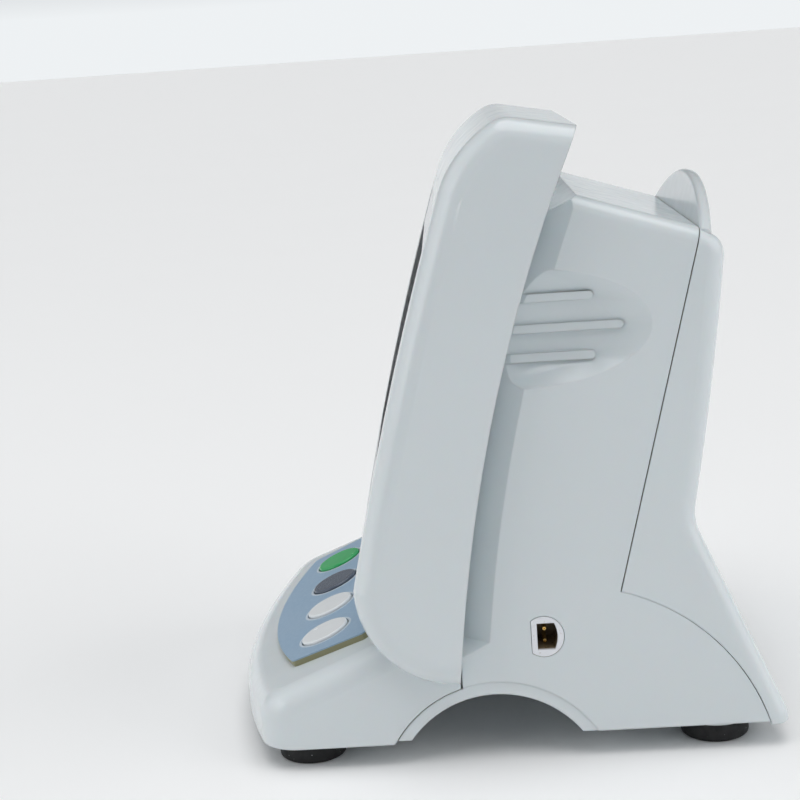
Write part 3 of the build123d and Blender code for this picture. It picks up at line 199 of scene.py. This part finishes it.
class Paint:
    """A procedural material that is added to step by step. Places are in the object's frame."""

    def __init__(self, name, colour, roughness, metallic=0.0):
        self.material = bpy.data.materials.new(name)
        self.material.use_nodes = True
        self.nodes = self.material.node_tree.nodes
        self.links = self.material.node_tree.links
        self.shader = self.nodes["Principled BSDF"]
        self.set(Metallic=metallic, Roughness=roughness)
        self.normal = None
        self.place = self.node("ShaderNodeTexCoord").outputs["Object"]
        self.use_colour((*colour, 1.0))

    def node(self, kind, **settings):
        node = self.nodes.new(kind)
        for name, value in settings.items():
            setattr(node, name, value)
        return node

    def put(self, socket, value):
        """Sets a socket to a plain value, or links an output to it."""
        if isinstance(value, (int, float, tuple)):
            socket.default_value = value
        else:
            self.links.new(value, socket)

    def set(self, **sockets):
        """Sets or links the shader's own sockets, by names with _ for a space."""
        for name, value in sockets.items():
            self.put(self.shader.inputs[name.replace("_", " ")], value)

    def use_colour(self, colour):
        self.colour = colour
        self.set(Base_Color=colour)

    def use_normal(self, normal):
        self.normal = normal
        self.set(Normal=normal)

    # ---- values
    def math(self, operation, *values):
        node = self.node("ShaderNodeMath", operation=operation)
        for socket, value in zip(node.inputs, values):
            self.put(socket, value)
        return node.outputs[0]

    def noise(self, scale, detail=3.0):
        node = self.node("ShaderNodeTexNoise")
        self.links.new(self.place, node.inputs["Vector"])
        node.inputs["Scale"].default_value = scale
        node.inputs["Detail"].default_value = detail
        node.inputs["Roughness"].default_value = NOISE_ROUGHNESS
        return node.outputs["Fac"]

    def spread(self, value, low, high, to_low=0.0, to_high=1.0):
        """Maps low..high to to_low..to_high, and holds it there outside."""
        node = self.node("ShaderNodeMapRange")
        for socket, amount in zip(("Value", "From Min", "From Max", "To Min", "To Max"),
                                  (value, low, high, to_low, to_high)):
            self.put(node.inputs[socket], amount)
        return node.outputs[0]

    def distance(self, value, middle):
        return self.math("ABSOLUTE", self.math("SUBTRACT", value, middle))

    def inset(self, half_sizes, places):
        """How far inside a rectangle about the origin a place is."""
        gaps = [self.math("SUBTRACT", half, self.math("ABSOLUTE", place))
                for half, place in zip(half_sizes, places)]
        return self.math("MINIMUM", *gaps)

    def local(self, matrix):
        """x, y and z in the frame of a plane."""
        inverse = matrix.inverted()
        outputs = []
        for row in range(3):
            dot = self.node("ShaderNodeVectorMath", operation="DOT_PRODUCT")
            self.links.new(self.place, dot.inputs[0])
            dot.inputs[1].default_value = tuple(inverse[row][:3])
            outputs.append(self.math("ADD", dot.outputs["Value"], inverse[row][3]))
        return outputs

    # ---- colour
    def blend(self, amount, colour):
        """Mixes another colour in by an amount from 0 to 1."""
        node = self.node("ShaderNodeMix", data_type="RGBA")
        self.put(node.inputs[MIX_AMOUNT], amount)
        self.put(node.inputs[MIX_FROM], self.colour)
        self.put(node.inputs[MIX_TO], (*colour, 1.0))
        self.use_colour(node.outputs[MIX_RESULT])

    def fleck(self, scale, detail, low, high, most, colour):
        """Mixes a colour in where a noise runs high: none below low, and the most above high."""
        self.blend(self.spread(self.noise(scale, detail), low, high, 0.0, most), colour)

    def mottle(self, scale, most):
        """Slow, faint changes of lightness."""
        self.fleck(scale, 3.0, 0.35, 0.7, most, MOTTLE_SHADE)

    def paint_gap_shade(self, distance, colour, most):
        """Paints an olive shade into the narrow gaps between mouldings, found by ambient occlusion: painted
        shade that stands in for the gap's shadow and for light coming through the plastic.
        """
        open_air, shut_in = 0.34, 0.06
        node = self.node("ShaderNodeAmbientOcclusion", samples=6)
        node.inputs["Distance"].default_value = distance
        self.blend(self.spread(node.outputs["AO"], open_air, shut_in, 0.0, most), colour)

    # ---- surface
    def rough(self, scale, low, high):
        self.set(Roughness=self.spread(self.noise(scale, 4.0), 0.3, 0.7, low, high))

    def soften(self, radius):
        """Rounds every edge a little, as a mould does."""
        node = self.node("ShaderNodeBevel", samples=4)
        node.inputs["Radius"].default_value = radius
        self.use_normal(node.outputs[0])

    def bump(self, height, distance, strength):
        node = self.node("ShaderNodeBump")
        node.inputs["Strength"].default_value = strength
        node.inputs["Distance"].default_value = distance
        self.links.new(height, node.inputs["Height"])
        if self.normal is not None:
            self.links.new(self.normal, node.inputs["Normal"])
        self.use_normal(node.outputs[0])


def shell_paint():
    """Glossy injection-moulded ABS, cool white, with a faint orange peel and painted shade in the gaps."""
    # the second colour is the olive of the painted shade in the gaps
    white, gap_shade_olive = (0.685, 0.74, 0.765), (0.40, 0.37, 0.22)
    paint = Paint("shell_plastic", white, 0.2)
    paint.set(IOR=1.5, Coat_Weight=0.25, Coat_Roughness=0.08, Subsurface_Weight=0.08,
              Subsurface_Scale=0.004)
    paint.mottle(35.0, 0.036)
    paint.rough(220.0, 0.17, 0.24)
    paint.soften(0.5 * MM)
    paint.bump(paint.noise(60.0, 1.0), 0.04 * MM, 0.1)
    paint.bump(paint.noise(2600.0, 2.0), 0.003 * MM, 0.2)
    # painted shade: olive in the narrow gaps, wherever ambient occlusion finds them shut in
    paint.paint_gap_shade(0.8 * MM, gap_shade_olive, 0.8)
    return paint.material


def keypad_paint():
    """Satin grey-blue overlay on an olive plastic core that shows at the edges."""
    overlay, fine_grain, core = (0.27, 0.395, 0.53), (0.55, 0.62, 0.7), (0.28, 0.27, 0.15)
    paint = Paint("keypad_overlay", overlay, 0.42)
    paint.mottle(60.0, 0.06)
    paint.fleck(3800.0, 1.0, 0.35, 0.75, 0.12, fine_grain)
    out = paint.local(keypad_matrix())[2]
    paint.blend(paint.spread(out, -OVERLAY_FILM, -OVERLAY_FILM - 0.06 * MM), core)
    paint.rough(900.0, 0.36, 0.5)
    paint.bump(paint.noise(4200.0, 1.0), 0.02 * MM, 0.5)
    return paint.material


def key_paint(name, colour, speckle):
    """Glossy moulded key with softened edges and a faint speckle."""
    paint = Paint(name, colour, 0.24)
    paint.set(Coat_Weight=0.3, Coat_Roughness=0.1)
    paint.fleck(120.0, 3.0, 0.4, 0.8, 0.05, speckle)
    paint.rough(300.0, 0.2, 0.28)
    paint.soften(0.4 * MM)
    paint.bump(paint.noise(1800.0, 2.0), 0.006 * MM, 0.2)
    return paint.material


def rubber_paint():
    """Matt black rubber with dust specks and a faint grain."""
    black, dust = (0.012, 0.012, 0.013), (0.32, 0.33, 0.34)
    paint = Paint("foot_rubber", black, 0.75)
    paint.fleck(1500.0, 1.0, 0.74, 0.78, 1.0, dust)
    paint.rough(600.0, 0.62, 0.85)
    paint.bump(paint.noise(2400.0, 3.0), 0.06 * MM, 0.6)
    return paint.material


def plated_paint(name, colour):
    """Nickel-plated steel with a slightly uneven, warm plating."""
    warm = (0.42, 0.36, 0.31)
    paint = Paint(name, colour, 0.28, metallic=1.0)
    paint.fleck(400.0, 4.0, 0.35, 0.75, 1.0, warm)
    paint.rough(900.0, 0.2, 0.42)
    paint.bump(paint.noise(1800.0, 3.0), 0.02 * MM, 0.5)
    return paint.material


def foil_paint():
    """Brushed silver-blue foil with painted shade that darkens it toward one side, a thin border and no
    lettering.
    """
    silver, brushed_grey = (0.66, 0.69, 0.76), (0.42, 0.45, 0.52)
    painted_side_shade, border = (0.30, 0.36, 0.47), (0.16, 0.19, 0.26)
    border_inset, border_half = 1.0 * MM, 0.14 * MM
    paint = Paint("label_foil", silver, 0.32, metallic=0.75)
    low, high = (Vector(corner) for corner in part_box("rating_label"))
    half = (high - low) / 2
    across, along, _ = paint.local(Matrix.Translation((low + high) / 2))
    stretch = paint.node("ShaderNodeMapping")
    paint.links.new(paint.place, stretch.inputs["Vector"])
    stretch.inputs["Scale"].default_value = (60, 2600, 60)
    brushed = paint.node("ShaderNodeTexNoise")
    paint.links.new(stretch.outputs[0], brushed.inputs["Vector"])
    brushed.inputs["Scale"].default_value = 1.0
    paint.blend(paint.spread(brushed.outputs["Fac"], 0.3, 0.7, 0.0, 0.3), brushed_grey)
    # painted shade: the foil darkens toward one end of its length
    paint.blend(paint.spread(along, 0.2 * half.y, 1.1 * half.y, 0.0, 0.35), painted_side_shade)
    nearest = paint.inset((half.x - border_inset, half.y - border_inset), (across, along))
    paint.blend(paint.math("LESS_THAN", paint.math("ABSOLUTE", nearest), border_half), border)
    paint.rough(120.0, 0.26, 0.4)
    return paint.material


def socket_paint():
    """White nylon rim, with painted shade: dark brown from half a millimetre into the cavity."""
    rim, inside, residue = (0.82, 0.84, 0.88), (0.22, 0.165, 0.10), (0.35, 0.28, 0.18)
    paint = Paint("socket_plastic", rim, 0.3)
    place = paint.node("ShaderNodeSeparateXYZ")
    paint.links.new(paint.place, place.inputs[0])
    lean = paint.math("MULTIPLY", place.outputs["Z"], SIDE_LEAN)
    side = paint.math("ADD", place.outputs["X"], lean)
    depth = paint.math("SUBTRACT", BASE_HALF_WIDTH, side)
    # painted shade: dark brown wherever the surface lies more than about 0.5 mm in from the side
    paint.blend(paint.spread(depth, 0.5 * MM, 1.1 * MM), inside)
    paint.fleck(900.0, 3.0, 0.62, 0.75, 0.5, residue)
    paint.rough(600.0, 0.25, 0.4)
    return paint.material


def gold_paint():
    """Gold-plated pins, a little tarnished."""
    gold, tarnish = (0.83, 0.58, 0.20), (0.5, 0.33, 0.12)
    paint = Paint("pin_gold", gold, 0.22, metallic=1.0)
    paint.fleck(2500.0, 3.0, 0.5, 0.8, 0.4, tarnish)
    return paint.material


def plain_paint(name, colour, roughness, scale, tint):
    """Moulded or coated inner part: a fine grain and uneven gloss."""
    paint = Paint(name, colour, roughness)
    paint.fleck(scale, 4.0, 0.4, 0.75, 0.35, tint)
    paint.rough(scale * 2, roughness * 0.8, roughness * 1.25)
    paint.bump(paint.noise(scale * 6, 2.0), 0.03 * MM, 0.5)
    return paint.material


def speaker_paper_paint():
    """Dark pressed paper with the tan ring of glue round the dust cap."""
    paper, glue = (0.03, 0.028, 0.022), (0.42, 0.33, 0.06)
    glue_radius, glue_half = 3.9 * MM, 0.8 * MM
    paint = Paint("speaker_paper", paper, 0.85)
    low, high = (Vector(corner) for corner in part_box("speaker_cone"))
    middle = (low + high) / 2
    x, y, _ = paint.local(Matrix.Translation((middle.x, middle.y, 0)))
    squares = [paint.math("MULTIPLY", value, value) for value in (x, y)]
    radius = paint.math("SQRT", paint.math("ADD", *squares))
    ring = paint.math("LESS_THAN", paint.distance(radius, glue_radius), glue_half)
    paint.blend(paint.math("MULTIPLY", ring, paint.spread(paint.noise(400.0), 0.35, 0.5)), glue)
    paint.bump(paint.noise(2200.0, 4.0), 0.08 * MM, 0.7)
    return paint.material


def board_paint():
    """Green solder mask, with a pattern like the tracks under it."""
    mask, tracks = (0.01, 0.10, 0.035), (0.04, 0.22, 0.07)
    paint = Paint("circuit_board", mask, 0.35)
    brick = paint.node("ShaderNodeTexBrick")
    paint.links.new(paint.place, brick.inputs["Vector"])
    brick.inputs["Scale"].default_value = 160.0
    brick.inputs["Mortar Size"].default_value = 0.05
    paint.blend(paint.math("MULTIPLY", brick.outputs["Fac"], 0.6), tracks)
    paint.rough(300.0, 0.28, 0.45)
    return paint.material


def cell_paint(upright):
    """A plain shrink sleeve: dark with a coppery band at the positive end and bare metal ends."""
    dark, copper = (0.02, 0.022, 0.026), (0.45, 0.20, 0.07)
    line, bare = (0.75, 0.74, 0.72), (0.62, 0.62, 0.63)
    copper_from, line_middle, line_half = 10.0 * MM, 9.4 * MM, 0.6 * MM
    sleeve_middle, sleeve_half = -0.6 * MM, 24.0 * MM
    paint = Paint("battery_sleeve_up" if upright else "battery_sleeve_down", dark, 0.28)
    along = paint.local(seam_matrix() @ Matrix.Translation((0, CELL_MIDDLE, 0)))[1]
    if not upright:
        along = paint.math("MULTIPLY", along, -1.0)
    paint.blend(paint.math("GREATER_THAN", along, copper_from), copper)
    paint.blend(paint.math("LESS_THAN", paint.distance(along, line_middle), line_half), line)
    metal = paint.math("GREATER_THAN", paint.distance(along, sleeve_middle), sleeve_half)
    paint.blend(metal, bare)
    paint.set(Metallic=metal)
    paint.rough(500.0, 0.22, 0.36)
    return paint.material


def window_paint():
    """Clear lens whose rear is printed grey-blue outside the viewing area."""
    print_blue, fine_grain = (0.20, 0.27, 0.35), (0.35, 0.42, 0.5)
    clear_alpha, print_edge = 0.10, 0.15 * MM
    paint = Paint("window_plastic", print_blue, 0.12)
    paint.set(Coat_Weight=0.4, Coat_Roughness=0.04)
    across, up, _ = paint.local(display_matrix())
    paint.fleck(3000.0, 1.0, 0.4, 0.8, 0.15, fine_grain)
    nearest = paint.inset(VIEWING_AREA, (across, up))
    paint.set(Alpha=paint.spread(nearest, 0.0, print_edge, 1.0, clear_alpha))
    paint.bump(paint.noise(300.0, 2.0), 0.01 * MM, 0.2)
    return paint.material


def glass_paint():
    """Grey-green liquid crystal glass with its fine reflector grain."""
    grey_green, reflector = (0.33, 0.39, 0.31), (0.45, 0.5, 0.42)
    paint = Paint("display_glass", grey_green, 0.3)
    paint.fleck(5000.0, 2.0, 0.4, 0.7, 0.2, reflector)
    paint.mottle(25.0, 0.09)
    paint.rough(400.0, 0.2, 0.3)
    return paint.material


# ---------------------------------------------------------------- pieces
SEGMENTS = {"0": "abcdef", "5": "afgcd"}
DIGIT_WIDTH, DIGIT_HEIGHT, DIGIT_SLANT = 8.0 * MM, 17.0 * MM, 0.09
STROKE = 0.2 * DIGIT_WIDTH


def add_piece(name, mesh_data, material, smooth=True):
    """Every piece that scene.py adds belongs to the fixed case."""
    mesh = bpy.data.meshes.new(name)
    mesh_data.to_mesh(mesh)
    mesh_data.free()
    mesh.materials.append(material)
    for face in mesh.polygons:
        face.use_smooth = smooth
    piece = bpy.data.objects.new(name, mesh)
    bpy.context.collection.objects.link(piece)
    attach(piece, "case")
    return piece


def lathe(profile, matrix, steps=64):
    """A closed ring profile of (radius, height) points turned round the z axis of a frame."""
    shape = bmesh.new()
    rings = []
    for step in range(steps):
        angle = 2 * pi * step / steps
        rings.append([shape.verts.new(matrix @ Vector((r * cos(angle), r * sin(angle), h)))
                      for r, h in profile])
    count = len(profile)
    for step in range(steps):
        here, there = rings[step], rings[(step + 1) % steps]
        for i in range(count):
            j = (i + 1) % count
            shape.faces.new((here[i], there[i], there[j], here[j]))
    bmesh.ops.recalc_face_normals(shape, faces=shape.faces)
    return shape


def add_key_rings(material):
    """The thin raised ring printed round each key hole."""
    inner, outer = KEY_HOLE_R + 0.02 * MM, KEY_HOLE_R + 0.62 * MM
    rise, root, slope = 0.07 * MM, -0.05 * MM, 0.06 * MM
    profile = [(inner, root), (inner, rise), (outer, rise), (outer + slope, root)]
    middle = (len(KEY_PLACES) - 1) / 2
    for number, name in enumerate(KEY_PLACES):
        x = (middle - number) * KEY_PITCH
        ring = lathe(profile, keypad_matrix() @ Matrix.Translation((x, 0, 0)))
        add_piece("key_ring_" + name, ring, material)


def bar(shape, matrix, x, y, width, height, depth, thick=MARK_THICK, shear=0.0):
    """A thin flat bar on a plane, leaning to one side where it is sheared."""
    corners = [(-1, -1), (1, -1), (1, 1), (-1, 1)]
    rings = []
    for z in (depth, depth + thick):
        ring = []
        for i, j in corners:
            px = x + i * width / 2 + shear * (y + j * height / 2)
            ring.append(shape.verts.new(matrix @ Vector((px, y + j * height / 2, z))))
        rings.append(ring)
    shape.faces.new(rings[1])
    shape.faces.new(rings[0][::-1])
    for i in range(4):
        j = (i + 1) % 4
        shape.faces.new((rings[0][i], rings[0][j], rings[1][j], rings[1][i]))


def digit(shape, matrix, sign, x, y):
    """One seven-segment digit, its strokes kept apart at the corners."""
    right, half, quarter = DIGIT_WIDTH / 2, DIGIT_HEIGHT / 2, DIGIT_HEIGHT / 4
    lying, standing = (DIGIT_WIDTH - STROKE * 1.3, STROKE), (STROKE, half - STROKE * 0.45)
    strokes = {"a": (0, half, lying), "g": (0, 0, lying), "d": (0, -half, lying),
               "b": (right, quarter, standing), "c": (right, -quarter, standing),
               "f": (-right, quarter, standing), "e": (-right, -quarter, standing)}
    for letter in SEGMENTS[sign]:
        dx, dy, (width, height) = strokes[letter]
        bar(shape, matrix, x + dx, y + dy, width, height, -MARK_DEPTH, shear=DIGIT_SLANT)


def add_display_marks():
    """What the display shows: 0.5, and over it a row of bars that grow to the right."""
    paint = Paint("display_marks", (0.035, 0.045, 0.05), 0.5)
    paint.rough(800.0, 0.4, 0.6)
    matrix = display_matrix()
    shape = bmesh.new()

    def mark(x, y, width, height):
        bar(shape, matrix, x * MM, y * MM, width * MM, height * MM, -MARK_DEPTH)

    digit(shape, matrix, "0", -6.0 * MM, -9.0 * MM)
    digit(shape, matrix, "5", 8.0 * MM, -9.0 * MM)
    mark(1.2, -17.4, 1.5, 1.5)                  # the point
    bar_foot, bar_width, bar_pitch = 8.0, 2.6, 4.0
    for number in range(14):
        height = 4.0 + 0.45 * number
        mark(-26.0 + number * bar_pitch, bar_foot + height / 2, bar_width, height)
    mark(0, 6.6, 56.0, 0.5)                     # the line under the bars
    mark(14.0, 20.0, 0.6, 5.0)                  # the tick over them
    add_piece("display_marks", shape, paint.material, smooth=False)


def add_spring(shape, matrix):
    """A coned wire spring, wide at its foot."""
    foot_radius, tip_radius, height, wire = 4.6 * MM, 2.5 * MM, 2.45 * MM, 0.33 * MM
    turns, per_turn, around = 3, 20, 8
    steps = turns * per_turn
    previous = None
    for step in range(steps + 1):
        part = step / steps
        angle = 2 * pi * turns * part
        radius = foot_radius + (tip_radius - foot_radius) * part
        middle = Vector((radius * cos(angle), radius * sin(angle), wire + (height - 2 * wire) * part))
        out = Vector((cos(angle), sin(angle), 0))
        ring = []
        for i in range(around):
            turn = 2 * pi * i / around
            point = middle + out * (wire * cos(turn)) + Vector((0, 0, wire * sin(turn)))
            ring.append(shape.verts.new(matrix @ point))
        if previous:
            for i in range(around):
                j = (i + 1) % around
                shape.faces.new((previous[i], previous[j], ring[j], ring[i]))
        else:
            shape.faces.new(ring)
        previous = ring
    shape.faces.new(previous[::-1])


def add_dimple(shape, matrix):
    """The pressed dimple that meets a cell's positive end."""
    profile = [(0.2 * MM, 0.3 * MM), (2.6 * MM, 0.3 * MM), (2.2 * MM, 1.6 * MM),
               (1.5 * MM, 2.3 * MM), (0.2 * MM, 2.45 * MM)]
    dimple = lathe(profile, matrix, 24)
    mesh = bpy.data.meshes.new("dimple")
    dimple.to_mesh(mesh)
    dimple.free()
    shape.from_mesh(mesh)
    bpy.data.meshes.remove(mesh)


def add_battery_contacts(material):
    """Plates with a coned wire spring at each negative end and a dimple at each positive end."""
    plate_side, plate_lift, plate_thick, spring_foot = 11 * MM, 0.02 * MM, 0.4 * MM, 0.3 * MM
    reach = CELL_LENGTH / 2 + CONTACT_GAP
    shape = bmesh.new()
    for number in range(CELL_COUNT):
        x = (number - (CELL_COUNT - 1) / 2) * CELL_PITCH
        for end in (-1, 1):
            middle = Vector((x, CELL_MIDDLE + end * reach, -CELL_DEPTH))
            face_inwards = Matrix.Rotation(end * radians(90.0), 4, "X")
            place = seam_matrix() @ Matrix.Translation(middle) @ face_inwards
            bar(shape, place, 0, 0, plate_side, plate_side, plate_lift, plate_thick)
            positive = (end > 0) == (number % 2 == 0)
            if positive:
                add_dimple(shape, place)
            else:
                add_spring(shape, place @ Matrix.Translation((0, 0, spring_foot)))
    bmesh.ops.recalc_face_normals(shape, faces=shape.faces)
    piece = add_piece("battery_springs", shape, material)
    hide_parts("battery_contacts")


# ---------------------------------------------------------------- put together
def key_materials(button):
    """The four keys, and the switch buttons that move with them."""
    white = key_paint("white_key", (0.82, 0.845, 0.86), (0.6, 0.66, 0.72))
    keys = {
        "white_key_right": white, "white_key_left": white,
        "grey_key": key_paint("grey_key", (0.085, 0.105, 0.145), (0.2, 0.23, 0.28)),
        "green_key": key_paint("green_key", (0.03, 0.42, 0.12), (0.12, 0.55, 0.22)),
    }
    return keys | {key + "_switch_button": button for key in keys}


def node_materials(contact):
    """The material of every CAD node."""
    shell = shell_paint()
    steel = plated_paint("screw_steel", (0.58, 0.55, 0.50))
    board = board_paint()
    dark = plain_paint("component_plastic", (0.018, 0.018, 0.02), 0.5, 300.0, (0.05, 0.05, 0.055))
    rubber = rubber_paint()
    cells = {True: cell_paint(True), False: cell_paint(False)}
    materials = {
        "front_shell": shell, "rear_shell": shell, "rear_cover": shell,
        "keypad_plate": keypad_paint(),
        "case_screws": steel, "cover_screws": steel, "board_screws": steel, "key_board_screws": steel,
        "rating_label": foil_paint(),
        "socket_shell": socket_paint(), "socket_pins": gold_paint(),
        "speaker": plain_paint("speaker_basket", (0.02, 0.02, 0.02), 0.45, 300.0, (0.06, 0.055, 0.05)),
        "speaker_cone": speaker_paper_paint(),
        "main_board": board, "key_board": board, "board_components": dark, "key_switches": dark,
        "lcd_window": window_paint(), "lcd_glass": glass_paint(),
        "lcd_backlight": plain_paint("backlight_plastic", (0.75, 0.8, 0.74), 0.4, 200.0, (0.6, 0.66, 0.6)),
        "battery_tray": plain_paint("tray_plastic", (0.62, 0.63, 0.62), 0.45, 150.0, (0.5, 0.51, 0.5)),
        "battery_contacts": contact,
    }
    materials |= key_materials(dark)
    materials |= {"battery_%d" % (number + 1): cells[number % 2 == 0] for number in range(CELL_COUNT)}
    materials |= {end + side + "_foot": rubber for end in ("front_", "rear_") for side in ("left", "right")}
    return materials


def main():
    add_camera()
    add_studio_light()
    add_room()
    add_floor()
    contact = plated_paint("contact_metal", (0.68, 0.66, 0.62))
    for node, material in node_materials(contact).items():
        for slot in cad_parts[node].material_slots:
            slot.material = material
    add_key_rings(plain_paint("key_ring_print", (0.50, 0.58, 0.66), 0.4, 600.0, (0.6, 0.66, 0.72)))
    add_display_marks()
    add_battery_contacts(contact)


main()
